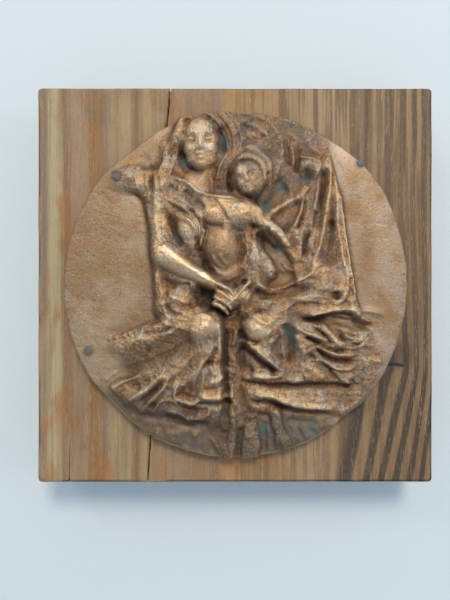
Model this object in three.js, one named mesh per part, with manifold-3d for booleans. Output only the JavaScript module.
// A relief plaque: a cast bronze disc held by four iron pins to a square block of old softwood.
// Millimetres, +Z up. The front faces -Y, and the origin is in the middle of the board's back face.

import * as THREE from 'three';
import { mergeVertices } from 'three/addons/utils/BufferGeometryUtils.js';
import Module from 'manifold-3d';

const wasm = await Module();
wasm.setup();

// ---- driving dimensions -------------------------------------------------------------------

const BOARD_SIDE = 160;
const BOARD_THICK = 27;
const BOARD_CORNER = 2.2;       // radius of the four upright corners
const BOARD_EASE = 0.8;         // the planed-off edge around front and back
const DISC_RADIUS = 69;
const DISC_RISE = 0.6;          // the disc's middle stands this far above the board's
const FIELD = 4.2;              // thickness of the bare field
const RIM_LIFT = 0.35;          // the field thickens towards the rim
const RIM_ROUND = 1.3;          // the rounded front edge of the rim
const GAP = 0.3;                // play between pieces that touch
const PIN_RADIUS = 1.7;
const PIN_IN_BOARD = 12;
const PIN_SIDES = 16;
const GRID = 128;               // finest cells across the relief, each way; a power of two
const COARSEST = 8;             // no facet spans more cells than this
const FACETS = 7800;            // the most facets on the carved front
const SOFTENING = 2;            // how many times each height is blended with those around it
const FINEST_ERROR = 0.02;      // the smallest miss in height that is worth a facet
const ERROR_STEP = 1.05;        // how fast that grows until the facets are few enough
const RIM_LIFT_FROM = 50;       // the field begins to thicken this far from the middle
const RIM_LIFT_OVER = 18;
const CLEAR = 30;               // how far a cutting tool reaches out in front

// Where the pins stand and where the board has cracked, from the disc's middle: x, z.
const PINS = {
  pin_upper_left: [-46.7, 42.6],
  pin_upper_right: [49.5, 48.0],
  pin_lower_left: [-58.1, -26.2],
  pin_lower_right: [47.9, -37.0],
};
const CRACKS = [
  { from: [-26.2, 80.2], to: [-28.4, 58], wide: 0.9, deep: 9 },
  { from: [-35.6, -81.4], to: [-34.0, -56], wide: 0.7, deep: 8 },
  { from: [-67.4, -81.4], to: [-66.8, -62], wide: 0.6, deep: 4 },
];
// The rim isn't quite round: flat stretches, each at an angle, so wide and so deep.
const FLATS = [
  { angle: 128, spread: 16, depth: 1.3 },
  { angle: -50, spread: 9, depth: 0.9 },
  { angle: -136, spread: 12, depth: 0.9 },
];

// ---- carving tools ------------------------------------------------------------------------
// Each tool returns a form: a function that takes a place and the height there, and gives
// the height it leaves. Heights are measured from the disc's back.

const lerp = THREE.MathUtils.lerp;
const clamp = THREE.MathUtils.clamp;
const ease = (t) => THREE.MathUtils.smoothstep(t, 0, 1);
const list = (value) => (Array.isArray(value) ? value : [value]);

// A list of values read as an even run, at t from 0 to 1.
function run(values, t) {
  const place = t * (values.length - 1);
  const i = Math.min(Math.floor(place), values.length - 2);
  return i < 0 ? values[0] : lerp(values[i], values[i + 1], place - i);
}

// The cosine and sine of an angle in degrees.
function direction(degrees) {
  const turn = THREE.MathUtils.degToRad(degrees);
  return [Math.cos(turn), Math.sin(turn)];
}

// The higher of two heights, with a soft inner corner of size k.
function softMax(a, b, k) {
  const t = clamp(0.5 + (0.5 * (a - b)) / k, 0, 1);
  return lerp(b, a, t) + k * t * (1 - t);
}

// The points of a smooth line through a few places.
function line(places, closed = false) {
  const points = places.map(([x, z]) => new THREE.Vector3(x, z, 0));
  const curve = new THREE.CatmullRomCurve3(points, closed, 'catmullrom', 0.5);
  return curve.getPoints(6 * places.length);
}

// How far a place is from a line, how far along the nearest point is, and on which side.
function near(path, x, z) {
  let [square, along, side] = [Infinity, 0, 0];
  for (let i = 0; i + 1 < path.length; i++) {
    const a = path[i];
    const b = path[i + 1];
    const dx = b.x - a.x;
    const dz = b.y - a.y;
    const t = clamp(((x - a.x) * dx + (z - a.y) * dz) / (dx * dx + dz * dz + 1e-12), 0, 1);
    const ex = x - a.x - t * dx;
    const ez = z - a.y - t * dz;
    if (ex * ex + ez * ez < square) {
      square = ex * ex + ez * ez;
      along = (i + t) / (path.length - 1);
      side = Math.sign(dx * ez - dz * ex);
    }
  }
  return { distance: Math.sqrt(square), along, side };
}

// A form that leaves everything outside its own box as it was.
function within(path, reach, form) {
  const box = new THREE.Box3().setFromPoints(path).expandByScalar(reach);
  const inside = (x, z) => x > box.min.x && x < box.max.x && z > box.min.y && z < box.max.y;
  return (x, z, h) => (inside(x, z) ? form(x, z, h) : h);
}

// A rounded bar, such as an arm.
function limb(places, radius, top, { floor = 4, k = 1.4, power = 0.6 } = {}) {
  const path = line(places);
  const [radii, tops] = [list(radius), list(top)];
  return within(path, Math.max(...radii), (x, z, h) => {
    const { distance, along } = near(path, x, z);
    const q = distance / run(radii, along);
    return q < 1 ? softMax(h, lerp(floor, run(tops, along), (1 - q * q) ** power), k) : h;
  });
}

// A rounded mass, such as a knee: an ellipse in plan and in section.
function dome([cx, cz], [rx, rz], top, tilt = 0, { floor = 4, k = 1.6, power = 0.6 } = {}) {
  const [c, s] = direction(tilt);
  return (x, z, h) => {
    const u = ((x - cx) * c + (z - cz) * s) / rx;
    const v = ((z - cz) * c - (x - cx) * s) / rz;
    const q = u * u + v * v;
    return q < 1 ? softMax(h, lerp(floor, top, (1 - q) ** power), k) : h;
  };
}

// A raised sheet inside a closed outline, with a soft step at its edge.
function plate(places, level, edge) {
  const ring = line(places, true);
  return within(ring, edge, (x, z, h) => {
    let inside = false;
    for (let i = 0; i + 1 < ring.length; i++) {
      const [a, b] = [ring[i], ring[i + 1]];
      const crosses = a.y > z !== b.y > z;
      if (crosses && x < a.x + ((z - a.y) / (b.y - a.y)) * (b.x - a.x)) inside = !inside;
    }
    const depth = near(ring, x, z).distance * (inside ? 1 : -1);
    const target = typeof level === 'function' ? level(x, z) : level;
    return h + Math.max(target - h, 0) * ease(depth / edge + 0.5);
  });
}

// A ridge along a line or, with a height below 0, a groove. It fades out towards its ends.
function fold(places, width, height, { lean = 0, ends = [0.15, 0.15] } = {}) {
  const path = line(places);
  const [widths, heights] = [list(width), list(height)];
  return within(path, 2.6 * Math.max(...widths), (x, z, h) => {
    const { distance, along, side } = near(path, x, z);
    const q = distance / (run(widths, along) * (1 - lean * side));
    const fade = ease(along / ends[0]) * ease((1 - along) / ends[1]);
    return h + run(heights, along) * fade * Math.exp(-q * q);
  });
}

// Folds spread evenly from a first line to a last one that has as many places.
function fan(first, last, count, width, height, options) {
  const between = (t) => first.map(([x, z], i) => [lerp(x, last[i][0], t), lerp(z, last[i][1], t)]);
  const one = (_, i) => fold(between(i / (count - 1)), width, height, options);
  return Array.from({ length: count }, one);
}

// A calm, plain face: size runs from chin to hairline, tilt leans it to the left.
function face([cx, cz], size, tilt, top) {
  const [c, s] = direction(tilt);
  const at = (u, v) => [cx + (u * c - v * s) * size, cz + (u * s + v * c) * size];
  const pair = (make) => [-1, 1].map(make);
  return [
    dome([cx, cz], [0.42 * size, 0.56 * size], top - 0.9, tilt, { floor: top - 6, k: 1, power: 0.5 }),
    dome([cx, cz], [0.34 * size, 0.53 * size], top, tilt, { floor: top - 2.6, k: 0.8 }),
    ...pair((e) => fold([at(e * 0.05, 0.09), at(e * 0.16, 0.11), at(e * 0.28, 0.05)], 0.09 * size, -1.5)),
    ...pair((e) => fold([at(e * 0.06, 0.19), at(e * 0.17, 0.21), at(e * 0.29, 0.15)], 0.06 * size, 0.5)),
    fold([at(0, 0.2), at(0, 0), at(0, -0.12)], [0.05 * size, 0.08 * size], [0.5, 1.9],
      { ends: [0.2, 0.06] }),
    fold([at(-0.13, -0.24), at(0.13, -0.24)], 0.04 * size, -0.7),
    dome(at(0, -0.37), [0.15 * size, 0.13 * size], top - 0.9, tilt, { floor: top - 3, k: 0.8 }),
  ];
}

// ---- landmarks of the carving, from the disc's middle: x, z -------------------------------

const HEAD_LEFT = [-13.4, 55];
const HEAD_RIGHT = [4.4, 41.2];
const FACE_LEFT = 18;
const FACE_RIGHT = 13.6;
const SHOULDER_LEFT = [-28, 36];
const SHOULDER_RIGHT = [8.8, 27.4];
const CHEST = [-3, 28];
const BELLY = [-5.6, 13];
const FIST = [28.5, 46.5];
const ELBOW = [-27, 11];
const WRIST = [-8.5, 0.6];
const HANDS = [-2, -4.4];
const KNEE_LEFT = [-12.5, -16.5];
const KNEE_RIGHT = [9.2, -16.8];
const HEM_LEFT = -52;
const HEM_RIGHT = -49;
const VALLEY = -1;

const off = ([x, z], dx, dz) => [x + dx, z + dz];

// ---- behind the figures -------------------------------------------------------------------

const rock = [
  plate([[-5, 60], [-6, 74], [20, 74], [34, 63], [37, 52], [33, 44], [30, 30], [12, 20], [0, 34]], 5.6, 6),
  ...fan([[0, 69], [8, 66.5], [14, 61], [18, 53]], [[22, 70], [26, 66], [29, 60], [33, 51]], 3, 1.5, 0.9),
];

const cloak = [
  plate(
    [[-50, 39], [-39, 36], [-34.5, 27], [-31.5, 8], [-31.5, -11], [-24, -14], [-14, 0],
      [-12, 30], [-20, 50], [-27, 50], [-30, 46.5], [-38, 46], [-47, 44.5]],
    (x) => 5.2 + 0.09 * (x + 50), 2.2),
  fold([[-49, 44.6], [-42, 46.2], [-30, 48]], 1.6, 0.9),
  fold([[-37.5, 45.4], [-30, 45.2]], 1.2, -1.6),
  ...fan([[-36, 44.5], [-35.6, 38], [-34, 30]], [[-30.8, 44], [-30.6, 37], [-30, 30]], 2, 1.3, 1.1),
  fold([[-39, 36.4], [-36, 32], [-32.5, 16]], 1.1, -1),
];

// ---- the two bodies -----------------------------------------------------------------------

const leftBody = [
  dome(off(SHOULDER_LEFT, 8, 1), [12.5, 12], 9.2, 25, { power: 0.7 }),
  dome(off(HEAD_LEFT, 0.4, -1), [12.2, 15], 8, 4, { k: 1.2, power: 0.45 }),
  limb([off(HEAD_LEFT, 0, -8), off(HEAD_LEFT, -2, -19)], [5, 7], [8.6, 9]),
  limb([SHOULDER_LEFT, [-29, 25], off(ELBOW, -1, 0)], [6.5, 6], [9.6, 10, 10.8], { floor: 3.5 }),
  dome([-18.3, 21], [7, 11], 10.6, 14, { k: 2, power: 0.7 }),
  limb([[-17, 16], [-20, 2], [-22, -10]], 8, [9, 8.6], { k: 1.8 }),
];

const rightBody = [
  dome(off(HEAD_RIGHT, 4.2, 1.3), [9.2, 11], 8.4, -8, { k: 1, power: 0.45 }),
  dome([6.5, 56], [9, 10], 6.8, -20, { floor: 4.5 }),
  dome(CHEST, [14, 8], 10.6, -6, { power: 0.55 }),
  limb([CHEST, [-5, 16], [-4, 4]], [10, 8.5, 8], [9.8, 9.2], { power: 0.55 }),
  dome(off(CHEST, 5.6, -1.6), [7, 6], 11.6, 30, { floor: 7, k: 1.8, power: 0.7 }),
  dome(off(CHEST, -6, 0.4), [7, 6.2], 11, -10, { floor: 7, k: 1.8, power: 0.7 }),
  dome(BELLY, [7.2, 9.6], 11.2, 6, { floor: 6.5, k: 1.8, power: 0.7 }),
  dome(SHOULDER_RIGHT, [5, 6], 10.2, 20, { floor: 5 }),
  limb([[5, 20], [6, 10], [7, 0]], 6, [8.2, 7.6]),
];

const rightArms = [
  limb([[11, 26.5], [18, 30], [25, 34.5], off(FIST, 0, -6.5)], [3, 2.7, 2.7, 3],
    [8.2, 7.6, 7.8, 8.2], { k: 1.2 }),
  limb([[9, 25], [16, 20.4], [22, 12]], [4, 3, 2.4], [9.8, 9, 8.2]),
  dome(FIST, [5.6, 4.4], 9.4, -20, { floor: 4.5, k: 0.8, power: 0.5 }),
  fold([[12.5, 24.8], [19, 28.2], [26, 33]], 1.1, -1.8),
  fold([[11, 30], [16, 34.5], [21, 39]], 1.9, -1.8),
  fold([off(FIST, -3, -4.5), off(FIST, 0, -7.7)], 2, -2.4),
  fold([[8.2, 21], [13, 17.6], [18.6, 12.5]], 1.6, -2.4),
];

const torsoLines = [
  fold([[-14.5, 24.8], [-9.5, 23], [-4, 22.8]], 1.4, -1.7),
  fold([[-2.5, 22.8], [2, 20.8], [6.5, 21.5]], 1.3, -1.4),
  fold([off(BELLY, -6.4, 7), off(BELLY, -7.4, 0), off(BELLY, -5.9, -7)], 1.3, -1.5),
  fold([off(BELLY, 7, 6), off(BELLY, 8.8, -1), off(BELLY, 6.6, -7)], 1.3, -1.2),
  ...fan([[-11, 3.2], [-4, 1.6], [3.4, 5.4], [7.2, 12]],
    [[-9, 6.8], [-3.6, 4.4], [1.2, 7.4], [3, 12]], 2, 1.1, 1),
  fold([[2, 36], [6, 33.6], [12.5, 26.5]], 1.3, -1.7),
];

// ---- feet and ground, under the hems ------------------------------------------------------

const ground = [
  plate([[-38, -53], [-20, -54], [-9, -55], [-10, -68], [-24, -66], [-34, -60]], 5.3, 3),
  plate([[3.4, -54.6], [8.8, -54.6], [9.4, -67.6], [2.8, -68]], 6.6, 1.4),
  limb([[-1.6, -50], [-1.6, -60], [-3.4, -66.5]], [2.8, 3, 4.2], [8.2, 7]),
  limb([[15.5, -50], [16.5, -58], [20.5, -63.4]], [3, 3.2, 4.2], [7.6, 6.8]),
];

// ---- thighs, knees and shins under the skirts ---------------------------------------------

// The left skirt stands highest along its upper edge and hollows below it.
const skirtTop = (x) => -14 + 0.43 * (x + 27);
const leftSkirtLevel = (x, z) => clamp(8.6 + 0.05 * (x + 52) - 0.13 * (skirtTop(x) - z), 5, 9.5);

const legs = [
  plate(
    [[-27, -12], [-43, -19.8], [-51, -23.4], [-58, -28], [-54, -37], [-46, -44], [-38, -49.5],
      [-29, -50.5], [-18, -53], [-6, -54], [-5, -30], [-5, -12], [-14, -9]],
    leftSkirtLevel, 2.6),
  plate(
    [[3, -11], [20, -12], [34, -14], [48, -17], [58, -22], [62, -29], [57, -38], [50, -44],
      [42, -50], [30, HEM_RIGHT], [20, -47.5], [4, -44], [3, -30]],
    (x) => 7.6 - 0.035 * x, 4),
  plate([[-6, -12], [4, -12], [4, -52], [VALLEY, -56], [-6, -54]], 6.2, 1.5),
  limb([[-25, -14.5], [-13, -15.5]], [6.5, 9], [9.8, 12.4], { k: 2.5, power: 0.7 }),
  dome(KNEE_LEFT, [9, 8], 13.4, 12, { floor: 5, k: 2.2 }),
  limb([off(KNEE_LEFT, 0, -1.5), [-11.5, -32], [-11, -46]], [8.2, 7.4, 7], [12.4, 9.8, 8.6], { k: 2 }),
  limb([[-20, -15], [-33, -20], [-46, -25]], [6.5, 5.5, 4.5], [10.4, 8.8, 7.6], { k: 3, power: 0.8 }),
  dome(KNEE_RIGHT, [8, 7.4], 12.8, -8, { floor: 5, k: 2 }),
  limb([off(KNEE_RIGHT, 0.8, -2.2), [10.5, -32], [10, -44]], [8, 7.2, 7], [11.2, 8.8, 7.8], { k: 2 }),
  limb([[14, -14], [24, -19], [38, -26]], [7, 8], [9.8, 7.2], { k: 2.6, power: 0.75 }),
];

// ---- heads and hair -----------------------------------------------------------------------

const leftHead = [
  fold([[-19.5, 55], [-17.5, 49.5], [-13, 45.5], [-9, 45.5]], 2, -2.2),
  fold([[-6, 62], [-4.6, 57], [-5.2, 50]], 1.7, -2.4),
  ...face(HEAD_LEFT, FACE_LEFT, 2, 12.4),
  ...fan([[-12, 67], [-5, 61.5], [-3.4, 57], [-3.6, 51], [-7, 45], [-8.5, 36]],
    [[-7, 68], [0.6, 61.5], [1.8, 56], [1, 51.5], [-3.6, 44.5], [-4.2, 35]], 3, 1, 1.2),
  ...fan([[-15, 67.2], [-20.6, 59], [-24, 47], [-29, 34]],
    [[-17, 68.2], [-24, 58.5], [-27, 46], [-31.5, 32]], 2, 1.2, 1.1),
];

const rightHead = [
  fold([[-2.5, 45], [-3.2, 40], [-0.8, 36]], 1.2, -1.5),
  ...face(HEAD_RIGHT, FACE_RIGHT, 24, 11.6),
  ...fan([[-1.5, 46.5], [3.5, 49.5], [9, 47], [10.8, 42], [9.6, 36.5]],
    [[-0.6, 50.5], [6, 53], [13.4, 48.6], [15.2, 41.6], [12.4, 34]], 3, 1.1, 1.1),
  fold([[11.6, 46], [12.8, 40], [9.4, 34.4]], 1.3, -1.6),
];

// ---- sleeve, neckline and the hand laid on the shoulder -----------------------------------

const SLEEVE_HAND = [-25.3, 36.6];      // the first finger, and the step to the next one
const SLEEVE_STEP = [3.3, -1.6];

const sleeve = [
  fold([[-25.5, 43], [-20.5, 40.8], [-15.5, 35.8], [-10, 34], [-3, 33.4]], 1.1, 1.4),
  fold([[-25, 38.6], [-20, 35], [-14, 31.4], [-11.5, 27.5]], 1.5, -2.2),
  ...[0, 1, 2, 3].map((i) => {
    const finger = off(SLEEVE_HAND, SLEEVE_STEP[0] * i, SLEEVE_STEP[1] * i);
    return dome(finger, [1.9, 1.5], 10.4, -35, { floor: 8.2, k: 0.5 });
  }),
  ...fan([[-28.5, 35], [-22.5, 32.4], [-16.5, 28.2], [-12.2, 18.5], [-13.8, 13]],
    [[-29, 31.5], [-25, 28.4], [-21.2, 25.2], [-17, 22.4], [-16.4, 20.4]], 3, 1.1, 1.4),
  fold([[-27.2, 27], [-23.6, 23], [-21.6, 18], [-19.2, 12.6]], 1.5, -2.6),
  fold([[-28.6, 27], [-25, 20.5], [-22.8, 14.8], [-19.6, 10.2]], 1.3, 1.4),
];

// ---- the cloth held up at the right -------------------------------------------------------

const curtain = [
  plate(
    [[27, 36], [31, 41], [35, 49], [38, 49.5], [41, 38], [43.4, 25], [45.6, 8], [47.6, -4], [49, -12],
      [40, -12], [26, -4], [22, 10], [20.5, 19.5], [24.5, 27]],
    6.6, 2),
  fold([[27.8, 35.5], [25.6, 29], [21.8, 20]], 1.3, 1.6, { lean: -0.3 }),
  fold([[31.4, 41], [30.3, 31], [28, 21], [26.2, 12]], 1.2, 2, { lean: -0.3 }),
  fold([[32.4, 36], [30.8, 25], [27.8, 16], [27, 9]], 1, -1.8),
  fold([[34.8, 48], [37, 42], [35.4, 32], [32.6, 19], [27.5, 4]], 1.2, 2.2, { lean: -0.3 }),
  fold([[33.2, 46], [33.8, 38], [33.4, 28]], 1.2, -1.6),
  ...fan([[38.4, 40], [40.2, 22], [43, 1], [38.4, -8.6]],
    [[40.4, 38.5], [43, 20], [46, 1], [46.6, -7]], 2, 1.15, 2.1),
  fold([[37.5, 24], [38, 15], [36.5, 6]], 2.2, -1),
];

// ---- cloth pooled on the lap --------------------------------------------------------------

const lap = [
  plate(
    [[4, 2], [15, -2], [24, -1], [32, 7], [40, 6], [44, 0], [42, -9], [46, -10.5],
      [33, -12.5], [20, -12], [2, -12]],
    8, 3),
  fold([[5.5, 0.4], [14, -1.6], [21, -0.2], [31, 7.6], [37, 9.2]], 1.4, 2, { lean: -0.3 }),
  fold([[7, -2.4], [14, -4], [20, -3.2], [34, -2]], 1.6, -2.4),
  fold([[2, -11.2], [24, -12], [34, -10.4], [44.5, -9.8], [54, -15.2]], 1.3, 2,
    { lean: -0.4, ends: [0.08, 0.25] }),
  fold([[22, -14.8], [33, -13], [43, -12], [49, -15.4], [55, -16.8]], 1.3, -2.4, { ends: [0.2, 0.25] }),
  fold([[46, -8.6], [50, -11.6], [61, -12.2]], 1.4, 1),
];

// ---- forearm, joined hands and the cloth beside them --------------------------------------

const FINGERS = 4;
const FINGER_STEP = [-0.75, -2.3];

const hands = [
  fold([[-31, 4], [-22, -1.5], [-13, -6.5]], 1.7, -2.2),
  fold([[-22, 12], [-14, 6], [-9, 3]], 1.3, -1.7),
  limb([ELBOW, [-20, 6.4], WRIST], [5.2, 4.5, 2.9], [11.6, 12.4, 13], { floor: 5, k: 1.2, power: 0.55 }),
  dome(off(HANDS, -1, -0.2), [6.6, 5.4], 13, -35, { floor: 6, k: 0.8, power: 0.5 }),
  dome(off(HANDS, 5.2, 0.4), [4.2, 5.6], 12, 10, { floor: 6, k: 0.8, power: 0.5 }),
  ...Array.from({ length: FINGERS }, (_, i) => {
    const knuckle = off(HANDS, -3.6 + FINGER_STEP[0] * i, 4.2 + FINGER_STEP[1] * i);
    const joints = [knuckle, off(knuckle, 3.6, -1.6), off(knuckle, 6.8, -4.6)];
    return limb(joints, 1.15, 13.8, { floor: 10.5, k: 0.4 });
  }),
  dome([-21, -6], [6, 4.4], 11.2, -10, { floor: 5, k: 0.8 }),
  fold([[-27, -6], [-25.5, -10], [-20.5, -12.6], [-15, -10]], 1.1, -1.6),
];

// ---- folds of the skirts ------------------------------------------------------------------

const skirts = [
  fold([[-37, -19], [-29, -18.8], [-23, -15.8]], 1.1, -1.1),
  fold([[-10, -23], [-12.8, -30], [-16.6, -41]], 1.1, 1.3),
  fold([[-15, -43], [-9, -44.2], [0, -44]], 1.2, 1.5),
  fold([[-16, -46.4], [-8, -46], [0, -46]], 1.2, -1.5),
  // the valley between the two skirts, with a low ridge in it
  fold([[VALLEY - 3.6, -13], [VALLEY - 3.4, -54]], 1.2, -1.9, { ends: [0.06, 0.1] }),
  fold([[VALLEY + 3.6, -13], [VALLEY + 3.6, -54]], 1.3, -2.2, { ends: [0.06, 0.1] }),
  fold([[VALLEY, -13], [VALLEY, -57]], 1.4, 1.4, { ends: [0.06, 0.1] }),
  // the left skirt's fan and hem
  ...fan([[-33, -35.4], [-39, -37.2], [-49, -41]], [[-19.4, -35], [-21.6, -40.5], [-22.6, -46]], 5,
    [1.3, 1.8, 1.6], [1.4, 3, 3], { lean: -0.2, ends: [0.35, 0.12] }),
  fold([[-29.5, -48.8], [-24, -50], [-14, HEM_LEFT]], 1.4, 2.4, { lean: -0.3 }),
  fold([[-32.5, -51.6], [-24, -52.8], [-10, -54.8]], 1.4, -1.7),
  fold([[-20.5, -44.8], [-17, -47.2], [-13, -46.2]], 1.2, 1.8),
  // the folds that circle the right knee and cross below it
  fold([[5.4, -12.2], [12, -12.8], [16.8, -16.6], [16, -21.6], [10.4, -23.4]], 1.2, 1.2),
  ...fan([[2.6, -21.4], [8, -24], [13.5, -27.2], [18.6, -32]],
    [[3.6, -29.2], [6.8, -31.4], [9.8, -33.2], [12.8, -34.6]], 3, 1.2, 2),
  fold([[3.2, -24.6], [7.6, -27.8], [12, -30.6], [16, -34]], 1.1, -2.2),
  fold([[1.4, -35.4], [8, -36], [18.6, -35.2]], 1.2, 2.1),
  fold([[1, -38.4], [20, -39.6], [35, -39.2], [50, -40.6]], 1.1, -2.3, { ends: [0.06, 0.2] }),
  fold([[19, -14], [20.6, -22], [19.6, -31]], 1.4, -2.1),
  // the right skirt's fan
  ...fan([[22, -14.6], [30, -17.2], [38, -19.6], [55, -19.4]],
    [[22, -27], [30, -29.6], [37, -33.4], [47, -39.8]], 5,
    [1.1, 1.3, 1.4], [1.2, 2.4, 1.6], { lean: -0.3, ends: [0.15, 0.25] }),
  ...fan([[23, -18.2], [31, -21], [38, -23.6], [47, -25]],
    [[25, -28.4], [31, -31.6], [37, -35.6], [43, -39]], 4, 1, -1.9),
  // the lower band and its hem
  fold([[4, -42.4], [13, -43.6], [20, -47.2], [29, -48.4], [41, HEM_RIGHT]], 1.5, 2.1, { lean: -0.3 }),
  fold([[4, -45.6], [13, -46.8], [20, -50.2], [41, -51.4]], 1.5, -2.1),
  dome([41, -45], [8, 5], 7.6, -5, { floor: 4.5, power: 0.7 }),
  dome([50, -43.5], [5, 4.6], 6.6, -30, { floor: 4.5, power: 0.7 }),
];

const CARVING = [
  rock, cloak, leftBody, rightBody, rightArms, ground, legs, leftHead, sleeve, torsoLines,
  curtain, lap, hands, skirts, rightHead,
].flat();

function carvedHeight(x, z) {
  const field = FIELD + RIM_LIFT * ease((Math.hypot(x, z) - RIM_LIFT_FROM) / RIM_LIFT_OVER);
  return CARVING.reduce((height, form) => form(x, z, height), field);
}

// The rim's radius at an angle, with its flat stretches.
function rimRadius(angle) {
  const degrees = THREE.MathUtils.radToDeg(angle);
  const dent = ({ angle: at, spread, depth }) => depth * Math.exp(-(((degrees - at) / spread) ** 2));
  return DISC_RADIUS - FLATS.reduce((sum, flat) => sum + dent(flat), 0);
}

// ---- solids -------------------------------------------------------------------------------

function toSolid(geometry) {
  geometry.deleteAttribute('normal');
  geometry.deleteAttribute('uv');
  const merged = mergeVertices(geometry, 1e-4);
  return new wasm.Manifold(new wasm.Mesh({
    numProp: 3,
    vertProperties: new Float32Array(merged.attributes.position.array),
    triVerts: new Uint32Array(merged.index.array),
  }));
}

function toGeometry(solid) {
  const mesh = solid.getMesh();
  const geometry = new THREE.BufferGeometry();
  geometry.setAttribute('position', new THREE.BufferAttribute(new Float32Array(mesh.vertProperties), 3));
  geometry.setIndex(new THREE.BufferAttribute(new Uint32Array(mesh.triVerts), 1));
  return geometry;
}

// A round bar along Y, from yFront back to yBack.
function bar([x, z], radius, yFront, yBack) {
  const geometry = new THREE.CylinderGeometry(radius, radius, yBack - yFront, PIN_SIDES);
  return geometry.translate(x, (yFront + yBack) / 2, z);
}

const onBoard = ([x, z]) => [x, z + DISC_RISE];
const DISC_BACK = -BOARD_THICK - GAP;

// Where a corner of the square grid goes: the square is drawn out to a circle, ring by ring.
function discPlace(i, j) {
  const [u, v] = [(2 * i) / GRID - 1, (2 * j) / GRID - 1];
  const ring = Math.max(Math.abs(u), Math.abs(v));
  const wide = Math.abs(u) >= Math.abs(v);
  const turn = ring === 0 ? 0 : (Math.PI / 4) * (wide ? v / u : u / v);
  let angle = (wide ? turn : Math.PI / 2 - turn) + ((wide ? u : v) < 0 ? Math.PI : 0);
  if (angle > Math.PI) angle -= 2 * Math.PI;
  const radius = ring * rimRadius(angle);
  return [radius * Math.cos(angle), radius * Math.sin(angle)];
}

const at = (i, j) => i * (GRID + 1) + j;
const onRim = (i, j) => i === 0 || j === 0 || i === GRID || j === GRID;

// Wax and sand soften a carving: each height is blended with its eight neighbours.
function soften(heights) {
  const softer = heights.slice();
  for (let i = 1; i < GRID; i++) {
    for (let j = 1; j < GRID; j++) {
      let total = 0;
      for (const di of [-1, 0, 1]) {
        for (const dj of [-1, 0, 1]) {
          const share = (2 - Math.abs(di)) * (2 - Math.abs(dj));
          total += share * heights[at(i + di, j + dj)];
        }
      }
      softer[at(i, j)] = total / 16;
    }
  }
  return softer;
}

function discCorners() {
  const places = [];
  for (let i = 0; i <= GRID; i++) {
    for (let j = 0; j <= GRID; j++) places.push(discPlace(i, j));
  }
  let heights = places.map(([x, z]) => carvedHeight(x, z));
  for (let n = 0; n < SOFTENING; n++) heights = soften(heights);
  return places.map(([x, z], k) => {
    const drop = onRim(Math.floor(k / (GRID + 1)), k % (GRID + 1)) ? RIM_ROUND : 0;
    return new THREE.Vector3(x, DISC_BACK - heights[k] + drop, z + DISC_RISE);
  });
}

// Facets follow the carving: the grid's triangles are halved only where that shows.
// errors holds, for each corner, how far the surface would be off without it.
function cornerErrors(corners) {
  const errors = new Float64Array(corners.length);
  const miss = (i, j, a, b) => {
    const gap = corners[at(i, j)].clone().sub(corners[a].clone().lerp(corners[b], 0.5));
    return onRim(i, j) ? gap.length() : Math.abs(gap.y);
  };
  const need = (i, j) => (i < 0 || j < 0 || i > GRID || j > GRID ? 0 : errors[at(i, j)]);
  for (let s = 1; s < GRID; s *= 2) {
    const force = 2 * s > COARSEST ? Infinity : 0;
    const edges = [];
    const middles = [];
    for (let i = 0; i <= GRID; i += s) {
      for (let j = 0; j <= GRID; j += s) {
        const [odd, high] = [(i / s) % 2, (j / s) % 2];
        if (odd && high) middles.push([i, j]);
        else if (odd || high) edges.push([i, j, odd * s, high * s]);
      }
    }
    const h = s / 2;
    for (const [i, j, di, dj] of edges) {
      const own = miss(i, j, at(i - di, j - dj), at(i + di, j + dj));
      const finer = [need(i - h, j - h), need(i + h, j - h), need(i - h, j + h), need(i + h, j + h)];
      const below = s > 1 ? Math.max(...finer) : 0;
      errors[at(i, j)] = Math.max(own, below, force);
    }
    for (const [i, j] of middles) {
      const ci = ((i + s) / (2 * s)) % 2 ? i + s : i - s;
      const cj = ((j + s) / (2 * s)) % 2 ? j + s : j - s;
      const own = miss(i, j, at(ci, cj), at(2 * i - ci, 2 * j - cj));
      const beside = [need(i - s, j), need(i + s, j), need(i, j - s), need(i, j + s)];
      errors[at(i, j)] = Math.max(own, force, ...beside);
    }
  }
  return errors;
}

function carvedFacets(errors, limit) {
  const facets = [];
  const halve = (ai, aj, bi, bj, ci, cj) => {
    const [mi, mj] = [(ai + bi) / 2, (aj + bj) / 2];
    if (Math.abs(ai - ci) + Math.abs(aj - cj) > 1 && errors[at(mi, mj)] > limit) {
      halve(ci, cj, ai, aj, mi, mj);
      halve(bi, bj, ci, cj, mi, mj);
    } else {
      facets.push([at(ai, aj), at(bi, bj), at(ci, cj)]);
    }
  };
  halve(0, 0, GRID, GRID, GRID, 0);
  halve(GRID, GRID, 0, 0, 0, GRID);
  return facets;
}

function discGeometry() {
  const corners = discCorners();
  const errors = cornerErrors(corners);
  let limit = FINEST_ERROR;
  let facets = carvedFacets(errors, limit);
  while (facets.length > FACETS) {
    limit *= ERROR_STEP;
    facets = carvedFacets(errors, limit);
  }
  const used = new Set(facets.flat());
  const steps = [...Array(GRID).keys()];
  const around = [
    ...steps.map((k) => at(k, 0)), ...steps.map((k) => at(GRID, k)),
    ...steps.map((k) => at(GRID - k, GRID)), ...steps.map((k) => at(0, GRID - k)),
  ].filter((k) => used.has(k));
  const points = [...corners];
  const back = points.length;
  for (const k of around) points.push(corners[k].clone().setY(DISC_BACK));
  const middle = points.length;
  points.push(new THREE.Vector3(0, DISC_BACK, DISC_RISE));
  const faces = facets.map(([a, b, c]) => [a, c, b]);
  around.forEach((front, k) => {
    const next = (k + 1) % around.length;
    faces.push([front, back + k, back + next]);
    faces.push([front, back + next, around[next]]);
    faces.push([middle, back + next, back + k]);
  });
  const geometry = new THREE.BufferGeometry().setFromPoints(points);
  return geometry.setIndex(faces.flat()).toNonIndexed();
}

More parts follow.
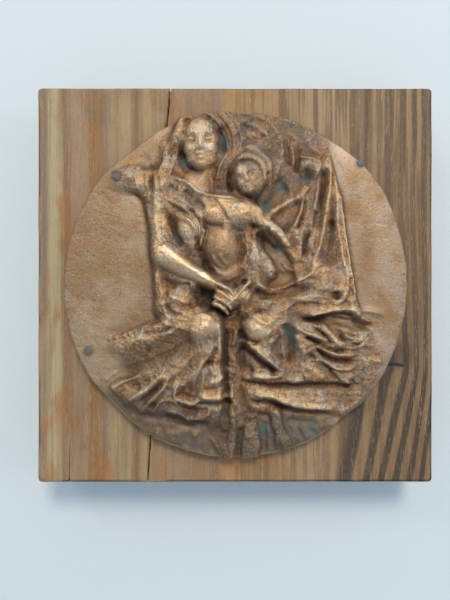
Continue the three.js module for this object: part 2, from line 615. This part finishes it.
// The board: a square with small round corners and eased edges, extruded back to front.
function boardGeometry() {
  const half = BOARD_SIDE / 2 - BOARD_EASE;
  const inner = half - BOARD_CORNER;
  const shape = new THREE.Shape();
  shape.moveTo(-inner, -half);
  for (const quarter of [-1, 0, 1, 2]) {
    const start = (quarter * Math.PI) / 2;
    const [cx, cz] = [[inner, -inner], [inner, inner], [-inner, inner], [-inner, -inner]][quarter + 1];
    shape.absarc(cx, cz, BOARD_CORNER, start, start + Math.PI / 2, false);
  }
  const geometry = new THREE.ExtrudeGeometry(shape, {
    depth: BOARD_THICK - 2 * BOARD_EASE,
    bevelThickness: BOARD_EASE,
    bevelSize: BOARD_EASE,
    bevelSegments: 1,
    curveSegments: 3,
  });
  return geometry.translate(0, 0, BOARD_EASE).rotateX(Math.PI / 2);
}

// A crack: a thin wedge that runs in from the board's edge and closes on the way.
function crackSolid({ from, to, wide, deep }) {
  const front = -BOARD_THICK - 1;
  const [[x0, z0], [x1, z1]] = [onBoard(from), onBoard(to)];
  const tip = wide / 4;
  const corners = [
    [x0 - wide / 2, front, z0], [x0 + wide / 2, front, z0], [x0, -BOARD_THICK + deep, z0],
    [x1 - tip / 2, front, z1], [x1 + tip / 2, front, z1], [x1, -BOARD_THICK + 1, z1],
  ];
  const faces = [0, 1, 2, 5, 4, 3, 0, 3, 4, 0, 4, 1, 1, 4, 5, 1, 5, 2, 2, 5, 3, 2, 3, 0];
  const outward = z1 < z0 ? faces : faces.reverse();
  const geometry = new THREE.BufferGeometry();
  geometry.setAttribute('position', new THREE.Float32BufferAttribute(corners.flat(), 3));
  geometry.setIndex(outward);
  return toSolid(geometry);
}

const pinPlaces = Object.values(PINS).map(onBoard);
const holes = (yFront, yBack) =>
  pinPlaces.map((place) => toSolid(bar(place, PIN_RADIUS + GAP, yFront, yBack)));

const PIN_BACK = -BOARD_THICK + PIN_IN_BOARD;
const IN_FRONT = -BOARD_THICK - CLEAR;

const boardSolid = [...holes(IN_FRONT, PIN_BACK + GAP), ...CRACKS.map(crackSolid)]
  .reduce((solid, cutter) => solid.subtract(cutter), toSolid(boardGeometry()));
const discSolid = holes(IN_FRONT, DISC_BACK + 1)
  .reduce((solid, cutter) => solid.subtract(cutter), toSolid(discGeometry()));

// ---- materials and the object -------------------------------------------------------------

const finish = (name, color, roughness, metalness) =>
  new THREE.MeshStandardMaterial({ name, color, roughness, metalness });
const wood = finish('wood', '#9b7a56', 0.6, 0);
const bronze = finish('bronze', '#a07c4b', 0.45, 0.9);
const iron = finish('iron', '#55565a', 0.6, 0.8);

const plaque = new THREE.Group();

function add(name, geometry, material) {
  const mesh = new THREE.Mesh(geometry, material);
  mesh.name = name;
  plaque.add(mesh);
}

add('board', toGeometry(boardSolid), wood);
add('relief_disc', toGeometry(discSolid), bronze);
for (const [name, place] of Object.entries(PINS)) {
  const yHead = DISC_BACK - carvedHeight(...place);
  add(name, bar(onBoard(place), PIN_RADIUS, yHead, PIN_BACK), iron);
}

export default plaque;
